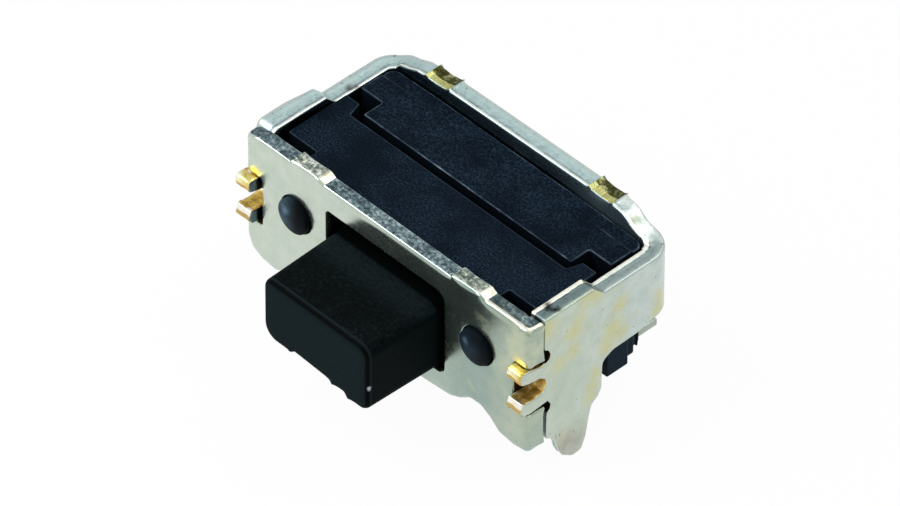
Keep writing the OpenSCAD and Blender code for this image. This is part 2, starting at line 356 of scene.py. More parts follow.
def cloud(tree, place, scale, detail=3, rough=0.55):
    node = addNode(tree, "TexNoise", {"Scale": scale, "Detail": detail, "Roughness": rough})
    feed(tree, place, node.inputs["Vector"])
    return node.outputs["Fac"]


def steps(tree, value, stops, smooth=False):
    # a colour ramp; stops are (place, colour or grey)
    node = addNode(tree, "ValToRGB")
    ramp = node.color_ramp
    if smooth:
        ramp.interpolation = "EASE"
    while len(ramp.elements) < len(stops):
        ramp.elements.new(0.5)
    for element, (at, tone) in zip(ramp.elements, stops):
        element.position = at
        element.color = (*tone, 1) if isinstance(tone, tuple) else (tone, tone, tone, 1)
    feed(tree, value, node.inputs["Fac"])
    return node.outputs["Color"]


def slide(tree, value, start, end, top=1.0, smooth=False):
    # 0 at start, top at end and level beyond them
    node = addNode(tree, "MapRange", {"From Min": start, "From Max": end, "To Max": top})
    if smooth:
        node.interpolation_type = "SMOOTHSTEP"
    feed(tree, value, node.inputs["Value"])
    return node.outputs["Result"]


def blend(tree, share, a, b, kind="MIX"):
    node = addNode(tree, "Mix", data_type="RGBA", blend_type=kind)
    for value, slot in ((share, 0), (a, 6), (b, 7)):
        feed(tree, value, node.inputs[slot])
    return node.outputs[2]


def maths(tree, kind, *values):
    node = addNode(tree, "Math", operation=kind)
    for value, slot in zip(values, node.inputs):
        feed(tree, value, slot)
    return node.outputs[0]


def times(tree, a, b):
    return maths(tree, "MULTIPLY", a, b)


def plus(tree, a, b):
    return maths(tree, "ADD", a, b)


def wander(tree, value, reach):
    # a noise that swings about 0
    return times(tree, maths(tree, "SUBTRACT", value, 0.5), reach)


def mixed(tree, a, b, share):
    return plus(tree, times(tree, a, 1 - share), times(tree, b, share))


def relief(tree, bsdf, height, strength, distance):
    node = addNode(tree, "Bump", {"Strength": strength, "Distance": distance})
    feed(tree, height, node.inputs["Height"])
    feed(tree, node.outputs["Normal"], bsdf.inputs["Normal"])


def softSpots(tree, place, spots, ragged):
    # a mask of soft blotches; spots are (x, y, z, reach) in millimetres
    drift = wander(tree, cloud(tree, place, 4.5, 4, 0.65), ragged)
    mask = 0.0
    for x, y, z, reach in spots:
        far = addNode(tree, "VectorMath", {1: (x, y, z)}, operation="DISTANCE")
        feed(tree, place, far.inputs[0])
        near = slide(tree, plus(tree, far.outputs["Value"], drift), reach, 0.0, smooth=True)
        mask = maths(tree, "MAXIMUM", mask, near)
    broken = steps(tree, cloud(tree, place, 7, 4, 0.7), [(0.35, 0.55), (0.6, 1)], True)
    return times(tree, mask, broken)


def patched(tree, place, tone, tones, ragged):
    # patches are (spots, colour, share)
    for spots, colour, share in tones.get("patches", []):
        mask = times(tree, softSpots(tree, place, spots, ragged), share)
        tone = blend(tree, mask, tone, colour)
    return tone


def tarnish(tree, place, tones):
    # the tone slides from the clean end to the dull end of the sheet
    along = slide(tree, axes(tree, place)[tones["axis"]], tones["cleanAt"], tones["dullAt"])
    drift = wander(tree, cloud(tree, place, 0.9, 3, 0.6), 1.1)
    share = steps(tree, plus(tree, along, drift), [(0, 0), (1, 1)], True)
    return blend(tree, share, tones["clean"], tones["dull"])


def agedCorner(tree, place, tone, tones):
    # a gold tint above the fork notches and a warmer tone towards the right end
    at = axes(tree, place)
    drift = steps(tree, cloud(tree, place, 2.5, 3, 0.6), [(0.35, 0.3), (0.65, 1)], True)
    warm = times(tree, slide(tree, at["X"], *tones["corner"]), slide(tree, at["Z"], -0.4, 1.0))
    tone = blend(tree, times(tree, warm, drift), tone, tones["cornerTone"])
    x, z, reach = tones["spot"]
    dx = maths(tree, "SUBTRACT", maths(tree, "ABSOLUTE", at["X"]), x)
    dz = maths(tree, "SUBTRACT", at["Z"], z)
    far = maths(tree, "SQRT", plus(tree, times(tree, dx, dx), times(tree, dz, dz)))
    return blend(tree, slide(tree, far, reach, reach * 0.3, smooth=True), tone, tones["spotTone"])


def platedSheet(name, tones):
    # satin tin plate with pale blotches and a few specks
    look, tree, bsdf = newLook(name)
    place = millimetres(tree)
    fine = cloud(tree, place, 9, 3, 0.6)
    blotch = mixed(tree, cloud(tree, place, tones["blotchScale"], 4, 0.6), fine, 0.25)
    mask = steps(tree, blotch, [(tones["stainAt"], 0), (tones["stainAt"] + 0.16, 1)], True)
    tone = tarnish(tree, place, tones)
    tone = blend(tree, times(tree, mask, tones["stainShare"]), tone, tones["stain"])
    mottle = steps(tree, cloud(tree, place, 5, 4, 0.7), [(0.3, tones["mottle"]), (0.7, white)], True)
    tone = blend(tree, 1.0, tone, mottle, "MULTIPLY")
    if "spot" in tones:
        tone = agedCorner(tree, place, tone, tones)
    tone = patched(tree, place, tone, tones, 0.16)
    speck = steps(tree, cloud(tree, place, 16, 2, 0.5), [(0.72, 0), (0.76, 0.8)])
    tone = blend(tree, speck, tone, tones["speck"])
    # painted shade: the inner side of the sheet is darkened, for the dark reflection and shade inside the
    # housing
    inner = steps(tree, depthIn(tree), [(0.9, 0), (0.99, 1)])
    tone = blend(tree, times(tree, inner, tones["insideShare"]), tone, tones["inside"])
    feed(tree, tone, bsdf.inputs["Base Color"])
    # towards the right end the inner side is a little less of a mirror
    haze = times(tree, slide(tree, axes(tree, place)["X"], 0.7, 1.3, tones["insideHaze"]), inner)
    feed(tree, maths(tree, "SUBTRACT", tones["metal"], haze), bsdf.inputs["Metallic"])
    rough = times(tree, plus(tree, fine, mask), 0.12)
    feed(tree, plus(tree, rough, tones["rough"] - 0.06), bsdf.inputs["Roughness"])
    grain = plus(tree, cloud(tree, place, 28, 3, 0.6), times(tree, cloud(tree, place, 2.2, 2), 3.0))
    relief(tree, bsdf, grain, tones["bump"], 0.000008)
    return look


def metalEdge(tree, bsdf, tone, tones, height, bump):
    feed(tree, tone, bsdf.inputs["Base Color"])
    feed(tree, 1.0, bsdf.inputs["Metallic"])
    feed(tree, tones["rough"], bsdf.inputs["Roughness"])
    relief(tree, bsdf, height, bump, 0.00002)


def shearedEdge(name, tones):
    # the broken face of a punched edge; bands (from, to, colour) lie along its inner side
    look, tree, bsdf = newLook(name)
    place, depth = millimetres(tree), depthIn(tree)
    grain = cloud(tree, place, tones["grain"], 4, 0.65)
    coarse = cloud(tree, place, 4, 2, 0.5)
    stops = [(0.38, tones["dark"]), (0.5, tones["mid"]), (tones.get("lightAt", 0.62), tones["light"])]
    tone = steps(tree, mixed(tree, grain, coarse, 0.3), stops)
    if "below" in tones:
        height, colour = tones["below"]
        above = steps(tree, axes(tree, place)["Z"], [(height, 0), (height + 0.02, 1)])
        tone = blend(tree, above, colour, tone)
    # painted highlight: a pale outer share where the rolled edge catches the light
    if "roll" in tones:
        until, colour = tones["roll"]
        tone = blend(tree, steps(tree, depth, [(until, 1), (until + 0.05, 0)]), tone, colour)
    edge = plus(tree, depth, wander(tree, coarse, 0.25))
    for start, end, colour in tones.get("bands", []):
        tone = blend(tree, steps(tree, edge, [(start, 0), (end, 1)], True), tone, colour)
    metalEdge(tree, bsdf, tone, tones, grain, tones["bump"])
    return look


def streakedEdge(name, tones):
    # an ironed edge: a worn outer side, faint streaks along it, a broken groove and a bright line along the
    # inner side, which is a painted highlight
    look, tree, bsdf = newLook(name)
    place, depth = millimetres(tree), depthIn(tree)
    across = plus(tree, depth, wander(tree, cloud(tree, place, 1.4, 3, 0.6), 0.3))
    stops = [(0.0, tones["outer"]), (0.3, tones["mid"]), (0.62, tones["mid"]), (0.8, tones["inner"])]
    tone = steps(tree, across, stops, True)
    streak = addNode(tree, "TexNoise", {"Scale": 5.0, "Detail": 4.0}, noise_dimensions="1D")
    feed(tree, across, streak.inputs["W"])
    both = mixed(tree, streak.outputs["Fac"], cloud(tree, place, 13, 5, 0.75), 0.55)
    stops = [(0.36, (0.54, 0.6, 0.62)), (0.5, (0.9, 0.93, 0.93)), (0.62, white)]
    tone = blend(tree, 1.0, tone, steps(tree, both, stops, True), "MULTIPLY")
    speck = steps(tree, cloud(tree, place, 15, 2, 0.5), [(0.67, 0), (0.72, 0.8)])
    tone = blend(tree, speck, tone, tones["speck"])
    # painted highlight: the bright line along the inner edge
    start = tones["highlightFrom"]
    line = steps(tree, depth, [(start, 0), (start + 0.06, 1)], True)
    tone = blend(tree, line, tone, tones["line"])
    stops = [(start - 0.1, 0), (start - 0.06, 1), (start - 0.02, 1), (start + 0.02, 0)]
    broken = steps(tree, cloud(tree, place, 5, 3, 0.6), [(0.42, 0), (0.56, tones["groove"])])
    groove = times(tree, steps(tree, depth, stops), broken)
    tone = blend(tree, groove, tone, tones["speck"])
    tone = patched(tree, place, tone, tones, 0.02)
    metalEdge(tree, bsdf, tone, tones, both, 0.35)
    return look


def darkMoulding(name, tones):
    # spark-grained on top, plain and darker on the sides; the side tones are partly painted shade
    look, tree, bsdf = newLook(name)
    place = millimetres(tree)
    at = axes(tree, place)
    facing = axes(tree, addNode(tree, "NewGeometry").outputs["Normal"])
    turned = [(0.3, 0.0), (0.7, 1.0)]
    grain = cloud(tree, place, tones["grain"], 3, 0.7)
    tone = steps(tree, grain, [(0.34, tones["deep"]), (0.5, tones["mid"]), (0.72, tones["light"])])
    broad = steps(tree, cloud(tree, place, 1.6, 3, 0.6), [(0.35, 0), (0.7, 0.75)], True)
    tone = blend(tree, broad, tone, tones["deep"])
    # painted shade: sides above z 0.95 keep the darker side tone, for the shade in the recesses; below z 0.75
    # they take the paler low tone
    low = steps(tree, at["Z"], [(0.75, 1), (0.95, 0)])
    sides = blend(tree, low, tones["side"], tones.get("lowSide", tones["side"]))
    if "paleTowardsPlate" in tones:
        # paler towards the plate, deeper at the front
        start, end, colour = tones["paleTowardsPlate"]
        paler = blend(tree, steps(tree, grain, [(0.34, 0.45), (0.62, 1)]), tone, colour)
        tone = blend(tree, slide(tree, at["Y"], start, end, smooth=True), tone, paler)
        # painted shade: the right-facing side is darker, for the weaker light from the right
        sides = blend(tree, steps(tree, facing["X"], turned, True), sides, tones["shadedRightSide"])
    tone = blend(tree, steps(tree, facing["Z"], turned, True), sides, tone)
    if "paleTowardsPlate" in tones:
        # painted shade: dark where it enters the window
        gap = slide(tree, at["Y"], end + 0.1, end + 0.16, smooth=True)
        tone = blend(tree, gap, tone, tones["deep"])
    if "seam" in tones:
        # a faint moulding line round the front face
        depth = depthIn(tree)
        for far, colour in (tones["seam"], tones["lip"]):
            stops = [(far - 0.016, 0), (far - 0.008, 1), (far + 0.006, 1), (far + 0.014, 0)]
            tone = blend(tree, steps(tree, depth, stops), tone, colour)
        tone = blend(tree, softSpots(tree, place, tones["flecks"], 0.01), tone, srgb(225, 230, 228))
    tone = patched(tree, place, tone, tones, 0.05)
    feed(tree, tone, bsdf.inputs["Base Color"])
    rough = plus(tree, times(tree, grain, 0.2), tones["rough"] - 0.1)
    feed(tree, rough, bsdf.inputs["Roughness"])
    feed(tree, tones["shine"], bsdf.inputs["Specular IOR Level"])
    relief(tree, bsdf, grain, 0.5, 0.00001)
    return look


# finishes of the plated sheets

plateTones = {
    "clean": srgb(202, 212, 199), "dull": srgb(152, 171, 162), "axis": "X", "cleanAt": -1.2, "dullAt": 1.9,
    "stain": srgb(200, 200, 168), "stainAt": 0.56, "stainShare": 0.7, "blotchScale": 1.1,
    "mottle": (0.9, 0.93, 0.92), "speck": srgb(110, 104, 88), "rough": 0.24, "bump": 0.04,
    "metal": 0.955, "insideHaze": 0.0, "inside": srgb(60, 72, 78), "insideShare": 0.5,
    "patches": [([(2.34, -1.17, 1.59, 0.035)], srgb(110, 70, 50), 0.6),
                ([(2.1, -1.18, -0.05, 0.6)], srgb(186, 196, 176), 0.7)],
    "spot": (2.2, 1.09, 0.13), "spotTone": srgb(232, 218, 140),
    "corner": (1.5, 2.1), "cornerTone": srgb(190, 197, 170)}
plateLook = platedSheet("plateSheet", plateTones)

# stains of the right wall as (y, z, reach)
wallStains = [(-0.26, 1.59, 0.24), (-0.13, 1.55, 0.21), (-0.4, 1.33, 0.225), (-0.46, 1.2, 0.24),
              (0.16, 0.87, 0.255), (0.29, 0.72, 0.21), (0.07, 0.66, 0.24), (0.93, 0.85, 0.24),
              (0.9, 0.67, 0.24), (-0.12, 0.33, 0.18), (-0.16, 0.17, 0.195), (-0.2, 0.0, 0.18),
              (-0.7, 0.86, 0.21), (-0.9, 1.5, 0.3), (0.27, 1.18, 0.195), (-0.49, 0.92, 0.21)]
shellTones = {
    "clean": srgb(194, 204, 190), "dull": srgb(196, 207, 202), "axis": "Y", "cleanAt": -0.9, "dullAt": 1.2,
    "stain": srgb(200, 200, 162), "stainAt": 0.55, "stainShare": 0.7, "blotchScale": 1.9,
    "mottle": (0.86, 0.89, 0.87), "speck": srgb(104, 98, 84), "rough": 0.24, "bump": 0.3,
    "metal": 1.0, "insideHaze": 0.24, "inside": srgb(46, 74, 90), "insideShare": 0.85,
    "patches": [([(halfWidth, *stain) for stain in wallStains], srgb(196, 195, 138), 0.85),
                ([(halfWidth, -0.53, -0.56, 0.5)], srgb(160, 156, 144), 0.8),
                ([(halfWidth, -0.6, 0.45, 0.6)], srgb(174, 190, 174), 0.6)]}
shellLook = platedSheet("shellSheet", shellTones)
contactTones = dict(shellTones, clean=srgb(150, 160, 146), dull=srgb(168, 178, 166), rough=0.3)
contactLook = platedSheet("contactSheet", contactTones)
domeLook = platedSheet("domeSheet", dict(shellTones, stainShare=0.1, rough=0.2))

# sheared edges of the plate

cutLook = shearedEdge("shearedEdge", {
    "dark": srgb(46, 60, 66), "mid": srgb(98, 116, 120), "light": srgb(186, 200, 198), "lightAt": 0.68,
    "grain": 22, "rough": 0.42, "bump": 0.8, "bands": [(0.9, 0.97, srgb(170, 184, 180))]})
# the pale roll of the smooth cut is a painted highlight of the rolled top edge
smoothCutLook = shearedEdge("smoothCut", {
    "dark": srgb(50, 64, 68), "mid": srgb(80, 96, 98), "light": srgb(140, 154, 150),
    "grain": 13, "rough": 0.34, "bump": 0.6, "bands": [(0.93, 0.98, srgb(150, 164, 162))],
    "roll": (0.28, srgb(214, 212, 190))})
bumpLook = shearedEdge("raisedEdge", {
    "dark": srgb(72, 82, 80), "mid": srgb(138, 148, 136), "light": srgb(236, 236, 218),
    "grain": 17, "rough": 0.32, "bump": 1.2, "bands": [(0.85, 0.97, srgb(150, 162, 158))]})
endLook = shearedEdge("creamEnd", {
    "dark": srgb(190, 182, 150), "mid": srgb(226, 222, 200), "light": srgb(246, 244, 230),
    "grain": 5, "rough": 0.45, "bump": 0.2})
notchLook = shearedEdge("bronzeEdge", {
    "dark": srgb(70, 54, 24), "mid": srgb(150, 124, 60), "light": srgb(214, 190, 120),
    "grain": 7, "rough": 0.35, "bump": 0.4})

# edges of the shell: forks, reliefs and carrier stubs are sheared, the rims are ironed

tipLook = shearedEdge("brightTip", {
    "dark": srgb(240, 232, 210), "mid": srgb(252, 248, 238), "light": srgb(255, 255, 250),
    "grain": 4, "rough": 0.4, "bump": 0.1, "below": (0.49, srgb(196, 168, 100))})
creamLook = shearedEdge("creamTop", {
    "dark": srgb(206, 178, 88), "mid": srgb(240, 228, 160), "light": srgb(253, 250, 226),
    "grain": 5, "rough": 0.42, "bump": 0.3, "below": (0.935, srgb(206, 164, 70))})
goldLook = shearedEdge("goldEdge", {
    "dark": srgb(176, 142, 64), "mid": srgb(226, 196, 110), "light": srgb(255, 252, 220), "lightAt": 0.6,
    "grain": 8, "rough": 0.5, "bump": 0.5})
stubLook = shearedEdge("olivePatch", {
    "dark": srgb(44, 44, 14), "mid": srgb(72, 74, 38), "light": srgb(196, 194, 140), "lightAt": 0.69,
    "grain": 12, "rough": 0.42, "bump": 0.8, "bands": [(0.54, 0.6, srgb(186, 184, 120))]})
# the relief faces are painted dark brown: painted shadow inside the relief notches
reliefShadowLook = shearedEdge("reliefShadowEdge", {
    "dark": srgb(26, 16, 6), "mid": srgb(60, 46, 18), "light": srgb(112, 90, 44),
    "grain": 7, "rough": 0.45, "bump": 0.4})
# the ramp at the rear right is pale with a dull dent; a brown speck lies on the left rim
rimPatches = [([(1.55, 1.17, 1.64, 0.22), (1.7, 1.12, 1.6, 0.2), (1.95, 1.02, 1.55, 0.24)],
               srgb(232, 234, 224), 0.9),
              ([(1.79, 1.06, 1.58, 0.11)], srgb(140, 148, 116), 0.9),
              ([(-2.168, 0.31, 1.5, 0.1), (-2.13, 0.36, 1.5, 0.08)], srgb(58, 40, 32), 1.0)]
rimLook = streakedEdge("ironedEdge", {
    "outer": srgb(206, 210, 198), "mid": srgb(192, 210, 206), "inner": srgb(182, 202, 200),
    "line": srgb(238, 240, 228), "highlightFrom": 0.82, "speck": srgb(116, 120, 116), "groove": 0.7,
    "rough": 0.4, "patches": rimPatches})
lowRimLook = streakedEdge("dullEdge", {
    "outer": srgb(176, 184, 176), "mid": srgb(158, 170, 166), "inner": srgb(142, 158, 156),
    "line": srgb(226, 228, 214), "highlightFrom": 0.72, "speck": srgb(96, 102, 98), "groove": 0.4,
    "rough": 0.42, "patches": rimPatches})
# a dark nick, curved along the bar at the front right
barNick = [(2.16 + 0.015 * k, -0.728 + 0.0022 * (k - 4) ** 2, rimTop, 0.085) for k in range(10)]
barLook = streakedEdge("barEdge", {
    "outer": srgb(168, 178, 160), "mid": srgb(124, 140, 138), "inner": srgb(84, 102, 110),
    "line": srgb(240, 238, 220), "highlightFrom": 0.72, "speck": srgb(30, 34, 34), "groove": 0.3,
    "rough": 0.4, "patches": [(barNick, srgb(6, 12, 10), 1.0)]})

# mouldings

moulding = darkMoulding("darkMoulding", {
    "deep": srgb(6, 12, 21), "mid": srgb(18, 30, 42), "light": srgb(45, 61, 74),
    "side": srgb(12, 19, 25), "lowSide": srgb(32, 44, 54), "grain": 36, "rough": 0.6, "shine": 0.02})
# the soft edges of the mouldings are paler: painted highlights along the edges
edgeHighlightTones = {"deep": srgb(26, 38, 50), "mid": srgb(62, 78, 92), "light": srgb(120, 138, 150),
             "side": srgb(14, 21, 28), "grain": 6, "rough": 0.5, "shine": 0.08}
mouldingEdgeHighlight = darkMoulding("mouldingEdgeHighlight", edgeHighlightTones)
faintEdgeHighlight = darkMoulding("faintEdgeHighlight", dict(edgeHighlightTones, mid=srgb(34, 47, 60), light=srgb(66, 84, 98)))
postLook = darkMoulding("postMoulding", {
    "deep": srgb(5, 10, 13), "mid": srgb(8, 14, 18), "light": srgb(16, 25, 30), "side": srgb(8, 14, 18),
    "grain": 14, "rough": 0.55, "shine": 0.05,
    # painted light: these patches light the left of each head, with a painted highlight on it
    "patches": [([(-1.64, -1.26, 0.98, 0.26), (-1.64, -1.26, 0.82, 0.26)], srgb(66, 88, 98), 1.0),
                ([(-1.6, -1.28, 0.97, 0.1)], srgb(104, 130, 152), 0.9),
                ([(1.43, -1.28, 0.89, 0.3)], srgb(36, 54, 66), 1.0),
                ([(1.41, -1.28, 0.96, 0.08)], srgb(92, 112, 126), 0.9)]})
buttonLook = darkMoulding("buttonMoulding", {
    "deep": srgb(2, 5, 5), "mid": srgb(4, 10, 11), "light": srgb(22, 31, 32),
    "side": srgb(12, 26, 29), "shadedRightSide": srgb(4, 12, 14), "grain": 20, "rough": 0.6, "shine": 0.03,
    "paleTowardsPlate": (-1.75, -1.35, srgb(25, 34, 37)),
    "seam": (0.016, srgb(2, 4, 4)), "lip": (0.046, srgb(22, 32, 34)),
    "flecks": [(0.872, -2.272, 0.482, 0.04), (0.872, -2.272, 0.46, 0.035)]})
filmLook = darkMoulding("amberFilm", {
    "deep": srgb(120, 70, 10), "mid": srgb(170, 105, 25), "light": srgb(200, 140, 50),
    "side": srgb(170, 105, 25), "grain": 5, "rough": 0.3, "shine": 0.5})
print("materials ready")


# shell: side walls, back wall, forks and legs from one strip

stamped = {"innerRound": 0.02, "rows": 5, "tear": 0.012, "tearScale": 14, "edgeStep": 0.035, "gridStep": 0.08}
shellShape = {
    **stamped, "thick": shellSheet, "outerRound": 0.03, "rollReach": 0.03, "arcs": 3, "burnish": 0.3,
    "holeShare": 1, "tipPull": 0.06, "tipFrom": 4.5, "leftLean": 0.05, "rightLean": 0.02, "legThin": 0.6}
shellLooks = {"face": shellLook, "rim": rimLook, "fork": goldLook, "stub": stubLook, "forkTip": tipLook,
              "lowRim": lowRimLook, "forkTop": creamLook, "bar": barLook, "relief": reliefShadowLook}
backHalf = halfWidth - cornerRadius
wallStart = backHalf + cornerRadius * math.pi / 2


def wallU(d):
    # unrolled place of a point on the right wall, d behind the plate's face
    return wallStart + (backY - cornerRadius) - (frontY + d)


# the right wall from its low rear edge round the leg and the forks to the rim, as (d, z, radius)
wallPoints = [
    (2.02, 0.581, 0.3), (1.75, 0.52, 0.4), (1.36, 0.508, 0.12), (1.2, 0.43, 0.1), (1.19, 0.03, 0.12),
    (1.125, -0.075, 0.1), (1.035, -0.135, 0.1), (0.99, -0.3, 0.2), (0.945, -0.56, 0.2), (0.87, -0.738, 0.08),
    (0.72, -0.745, 0.1), (0.56, -0.63, 0.08), (0.495, -0.5, 0.1), (0.458, -0.37, 0.06), (0.42, -0.285, 0.05),
    (0.306, -0.21, 0.02), (0.312, 0.2, 0.015), (0.355, 0.232, 0.04), (0.37, 0.29, 0.04), (0.32, 0.375, 0.03),
    (0.26, 0.372, 0.02), (0.015, 0.352, 0.2), (-0.07, 0.38, 0.02), (-0.12, 0.45, 0.02), (-0.085, 0.57, 0.02),
    (0.1, 0.55, 0.2), (0.25, 0.572, 0.04), (0.292, 0.63, 0.05), (0.287, 0.74, 0.06), (0.19, 0.808, 0.08),
    (0.0, 0.838, 0.1), (-0.1, 0.875, 0.05), (-0.12, 0.96, 0.06), (-0.105, 1.04, 0.05), (0.018, 1.032, 0.2),
    (0.235, 0.985, 0.04), (0.335, 1.01, 0.05), (0.364, 1.075, 0.05), (0.335, 1.145, 0.05),
    (0.268, 1.205, 0.02), (0.268, rimTop, 0.04), (1.05, rimTop, 0.05), (1.2, lowRim + 0.01, 0.08)]
# the back wall's rim to the right and left of the stubs
ringRight = [(2.25, lowRim + 0.01, 0), (2.0, lowRim + 0.04, 0.3), (1.9, lowRim + 0.065, 0.15),
             (1.73, rimTop - 0.02, 0.1), (1.62, rimTop, 0.1)]
ringLeft = [(-1.72, rimTop, 0.1), (-1.9, 1.6, 0.2), (-2.05, 1.56, 0.2), (-2.2, lowRim, 0.15),
            (-2.35, lowRim, 0)]
backStubs = [(-1.6, -1.22), (1.06, 1.465)]


def stubPoints(u0, u1):
    # a sheared stub of the carrier strip, seen from the right end to the left one
    top = rimTop - 0.004
    return [(u1 + 0.012, rimTop, 0.005), (u1, top + 0.022, 0.004), (u1 - 0.05, top, 0.03),
            ((u0 + u1) / 2, top - 0.008, 0.2), (u0 + 0.05, top, 0.03), (u0, top + 0.02, 0.004),
            (u0 - 0.012, rimTop, 0.005)]


def shellOutline():
    # the left wall has slightly longer forks and a bar that reaches further forward
    right = [(wallU(d), z, r) for d, z, r in wallPoints]
    left = []
    for d, z, r in reversed(wallPoints):
        if d < -0.05:
            d -= 0.025
        if d < 0.3 and z > 1.2:
            d, r = d - 0.07, 0.12 if z == rimTop else r
        left.append((-wallU(d), z, r))
    stubs = stubPoints(*backStubs[1]) + stubPoints(*backStubs[0])
    return fillet(right + ringRight + stubs + ringLeft + left)


def ramp(value, start, end):
    share = max(0, min(1, (value - start) / (end - start)))
    return share * share * (3 - 2 * share)


def bendShell(u, v, depth):
    # u runs along the strip from the middle of the back wall, v is the height
    side = -1 if u < 0 else 1
    a = abs(u)
    share = depth / shellSheet
    if a <= backHalf:
        # the rim flares out, and its stubs a little more at their torn ends
        nearRim = ramp(v, 1.5, 1.65)
        flare = (0.055 + 0.012 * u) * max(0, 1 - (a / 1.85) ** 6) * nearRim
        for u0, u1 in backStubs:
            if u0 <= u <= u1:
                flare += (0.01 + 0.012 * abs(2 * (u - u0) / (u1 - u0) - 1)) * nearRim * (1 - share)
        return u, backY - depth + flare, v
    if a <= wallStart:
        turn = (a - backHalf) / cornerRadius
        reach = cornerRadius - depth
        return side * (backHalf + reach * math.sin(turn)), backY - cornerRadius + reach * math.cos(turn), v
    if side < 0:
        lean = shellShape["leftLean"] * ramp(a, wallU(1.08), wallU(0.6))
        lean *= 1 - 0.9 * share * ramp(v, 1.5, 1.62)
    else:
        lean = shellShape["rightLean"] * share * ramp(v, 1.3, 1.48)
        lean *= 1 - ramp(a, wallU(1.2), wallU(1.1))
    thin = 1 - shellShape["legThin"] * ramp(-v, 0.22, 0.36) * ramp(a, wallU(0.95), wallU(0.8))
    return side * (halfWidth - depth * thin + lean), backY - cornerRadius - (a - wallStart), v


def shellCutLook(u, v):
    # which finish an edge of the strip shows: rims above, forks and their reliefs at the front
    a = abs(u)
    if v > 1.2:
        if any(u0 <= u <= u1 for u0, u1 in backStubs):
            return "stub"
        if u > wallU(1.1):
            return "bar"
        return "lowRim" if u > 1.7 and v < 1.65 else "rim"
    if a > wallU(-0.06) and 0.428 < v < 0.6:
        return "forkTip"
    if a > wallU(0.4) and 0.2 < v < 1.22:
        if v > 0.985 and a < wallU(0.2) or v < 0.4:
            return "relief"
        return "forkTop" if v > 0.86 and a > wallU(0.01) else "fork"
    return "rim"


shell = sheetMesh("shell_sheet", shellOutline(), [], shellShape, bendShell, shellLooks, shellCutLook)
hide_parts("shell")
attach(shell, "housing")
print("shell made:", len(shell.data.polygons), "faces")


# front plate

plateShape = {
    **stamped, "thick": sheet, "outerRound": 0.036, "rollReach": 0.085, "arcs": 5, "burnish": 0.25,
    "holeShare": 0.3, "tipPull": 0, "tipFrom": 9, "bendRadius": 0.06, "flange": 0.278, "squeeze": 0.5,
    "leftShorter": 0.085}
plateLooks = {"face": plateLook, "cut": cutLook, "bump": bumpLook, "bumpEnd": endLook, "notch": notchLook,
              "smooth": smoothCutLook}
bendStart = halfWidth - plateShape["bendRadius"]
bendMiddle = bendStart + plateShape["bendRadius"] * math.pi / 4
bendEnd = bendStart + plateShape["bendRadius"] * math.pi / 2
flangeEnd = bendEnd + plateShape["flange"] - plateShape["bendRadius"]
window = fillet([(-0.995, 0.035, 0.04), (0.958, 0.06, 0.1), (0.958, 1.3, 0.14), (-0.995, 1.3, 0.04)])
postPlaces = {"left": (-1.51, 0.892), "right": (1.51, 0.89)}
holeRadius = 0.246
# a raised bump of the top edge as (u, height, radius) from its left foot, and where the bumps begin
bumpTop, bumpFoot = 0.47, 0.56
bumpPoints = [(bumpFoot, 0, 0.02), (0.48, 0.043, 0.02), (0.42, 0.047, 0.05), (0.2, 0.04, 0.2),
              (0.02, 0.045, 0.02), (0, 0, 0.01)]
bumpStarts = [1.06, -1.61]


def bendPlate(u, v, depth):
    # outside and inside faces are bent apart, so that the corner stays sharp inside
    side = -1 if u < 0 else 1
    a = abs(u)
    radius = plateShape["bendRadius"]
    if a <= bendStart:
        outX, outY = a, frontY
    elif a <= bendEnd:
        turn = (a - bendStart) / radius
        outX, outY = bendStart + radius * math.sin(turn), frontY + radius * (1 - math.cos(turn))
    else:
        outX, outY = halfWidth, frontY + radius + (a - bendEnd)
    far = abs(a - bendMiddle)
    saved = bendMiddle - halfWidth + sheet
    squeeze = plateShape["squeeze"]
    near = far - saved if far > squeeze else far * (squeeze - saved) / squeeze
    if a < bendMiddle:
        inX, inY = halfWidth - sheet - near, frontY + sheet
    else:
        inX, inY = halfWidth - sheet, frontY + sheet + near * 0.3
    share = depth / sheet * (1 + 0.1 * ramp(v, 1.5, 1.64))
    roll = 0.03 * max(0, 1 - share / 0.35) ** 2 * ramp(u, 1.62, 1.72) * ramp(v, 1.55, 1.65)
    return side * (outX + (inX - outX) * share), outY + (inY - outY) * share, v - roll


def plateOutline():
    low = -0.23
    edge = [(0.6, low - 0.035, 0.3), (1.05, low + 0.005, 0.2), (1.2, low + 0.07, 0.15),
            (1.38, low + 0.195, 0.15), (1.56, low + 0.2, 0.12), (1.7, low + 0.12, 0.12),
            (1.86, low - 0.015, 0.12), (2.1, low - 0.05, 0.15)]
    notch = [(flangeEnd, 0.325, 0.02), (2.11, 0.325, 0.03), (2.11, 1.035, 0.03)]
    right = edge + [(bendMiddle, low - 0.02, 0.03), (flangeEnd, low - 0.01, 0.03)] + notch
    right += [(flangeEnd, 1.045, 0.03), (flangeEnd, 1.62, 0.03), (2.2, plateTop, 0.04)]
    leftEnd = flangeEnd - plateShape["leftShorter"]
    left = edge[:-1] + [(2.12, low + 0.02, 0.12), (2.28, low + 0.1, 0.12), (2.345, low + 0.25, 0.1),
                        (flangeEnd, low + 0.3, 0.03)] + notch
    left += [(leftEnd, 1.045, 0.03), (leftEnd, 1.62, 0.03), (2.2, plateTop, 0.04)]
    bumps = [(u0 + u, plateTop + v, r) for u0 in bumpStarts for u, v, r in bumpPoints]
    return fillet(right + bumps + [(-u, v, r) for u, v, r in reversed(left)])


def ring(cu, cv, radius, count=40):
    angles = [2 * math.pi * k / count for k in range(count)]
    return [(cu + radius * math.cos(a), cv + radius * math.sin(a)) for a in angles]


